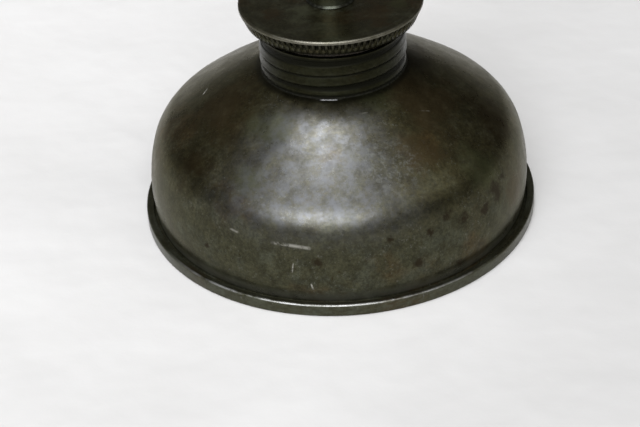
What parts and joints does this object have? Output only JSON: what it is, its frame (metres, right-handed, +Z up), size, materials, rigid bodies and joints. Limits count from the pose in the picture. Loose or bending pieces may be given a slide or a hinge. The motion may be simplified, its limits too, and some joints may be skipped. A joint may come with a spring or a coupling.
{
  "type": "push-bottom oil can",
  "caption": "Domed steel oil can with a springy push bottom, a screw-thread neck and a knurled cap carrying a long tapered spout.",
  "frame": {"origin": "middle of the face that the can stands on", "axes": "+Z up the can's axis towards the spout; +Y away from the front, on the side of the spout's lap"},
  "size_m": [0.095, 0.095, 0.166],
  "materials": {
    "tank_steel": "aged dark steel with an olive and brown oily patina, satin",
    "rim_steel": "dark oily steel, edges rubbed a little brighter",
    "spring_steel": "thin blued spring steel, stained",
    "disc_steel": "steel worn by the thumb",
    "collar_steel": "rolled dark steel, grime in the thread",
    "solder": "dull grey soft solder",
    "washer_leather": "oil-soaked leather, near black",
    "cap_steel": "dark steel with a knurled edge",
    "sleeve_steel": "turned steel, oily",
    "spout_steel": "rolled dark steel with a lapped seam",
    "tip_steel": "turned steel, rubbed bright at the nozzle"
  },
  "bodies": {
    "reservoir": {"tank_shell": "tank_steel", "seam_ring": "rim_steel", "spring_bottom": "spring_steel", "neck_collar": "collar_steel", "neck_solder": "solder"},
    "thumb_pad": {"push_disc": "disc_steel"},
    "washer": {"cap_washer": "washer_leather"},
    "spout": {"spout_cap": "cap_steel", "cap_sleeve": "sleeve_steel", "spout_tube": "spout_steel", "spout_solder": "solder", "spout_tip": "tip_steel"}
  },
  "joints": [
    {"name": "bottom_push", "type": "slide", "parent": "reservoir", "child": "thumb_pad", "axis": [0, 0, 1], "range_m": [0, 0.003], "stiffness_N_per_m": 3000, "deforming": ["spring_bottom"]},
    {"name": "cap_lift", "type": "slide", "parent": "reservoir", "child": "washer", "axis": [0, 0, 1], "range_m": [0, 0.00795]},
    {"name": "cap_unscrew", "type": "hinge", "parent": "washer", "child": "spout", "pos_m": [0, 0, 0.0508], "axis": [0, 0, 1], "range_deg": [0, 1081]}
  ],
  "couplings": [
    {"joint": "cap_unscrew", "follows": "cap_lift", "rad_per_m": 2371}
  ]
}
